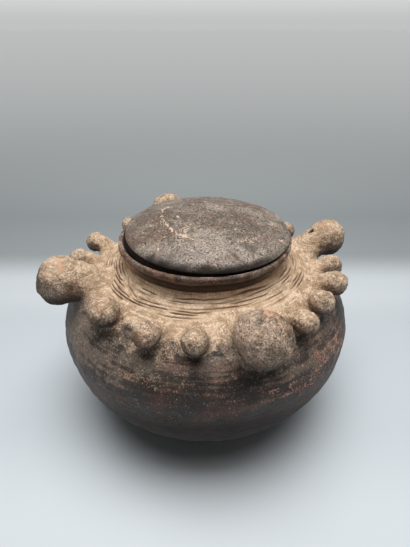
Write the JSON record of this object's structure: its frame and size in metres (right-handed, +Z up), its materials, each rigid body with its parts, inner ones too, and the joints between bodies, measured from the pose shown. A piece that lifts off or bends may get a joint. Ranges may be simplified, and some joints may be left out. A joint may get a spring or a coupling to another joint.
{
  "type": "lidded knobbed earthenware jar",
  "caption": "Round hand-built earthenware jar with a ring of clay knobs on its shoulder, scratched lines round the neck and a loose domed lid that rests in a flared collar.",
  "frame": {"origin": "centre of the flat base that the jar stands on", "axes": "+Z up along the jar's axis, -Y towards the front of the picture, +X to its right"},
  "size_m": [0.2935, 0.2864, 0.2044],
  "materials": {
    "burnished_clay": "burnished low-fired clay, dark brown to black from the fire",
    "red_brown_clay": "burnished red-brown clay, darkened by smoke",
    "dusty_clay": "matt low-fired clay with tan dust and worn pink-grey tops",
    "grey_brown_clay": "smoothed grey-brown clay with a low sheen and small chips"
  },
  "bodies": {
    "jar": {"jar_body": "burnished_clay", "rim_collar": "red_brown_clay", "knob_big_front": "dusty_clay", "knob_big_right": "dusty_clay", "knob_big_back": "dusty_clay", "knob_big_left": "dusty_clay", "knob_small_front_right_1": "dusty_clay", "knob_small_front_right_2": "dusty_clay", "knob_small_front_right_3": "dusty_clay", "knob_small_front_right_4": "dusty_clay", "knob_small_back_right_1": "dusty_clay", "knob_small_back_right_2": "dusty_clay", "knob_small_back_right_3": "dusty_clay", "knob_small_back_right_4": "dusty_clay", "knob_small_back_left_1": "dusty_clay", "knob_small_back_left_2": "dusty_clay", "knob_small_back_left_3": "dusty_clay", "knob_small_front_left_1": "dusty_clay", "knob_small_front_left_2": "dusty_clay", "knob_small_front_left_3": "dusty_clay"},
    "lid": {"lid": "grey_brown_clay"}
  },
  "joints": [
    {"name": "lid_lift", "type": "slide", "parent": "jar", "child": "lid", "axis": [0, 0, 1], "range_m": [0, 0.12]}
  ]
}
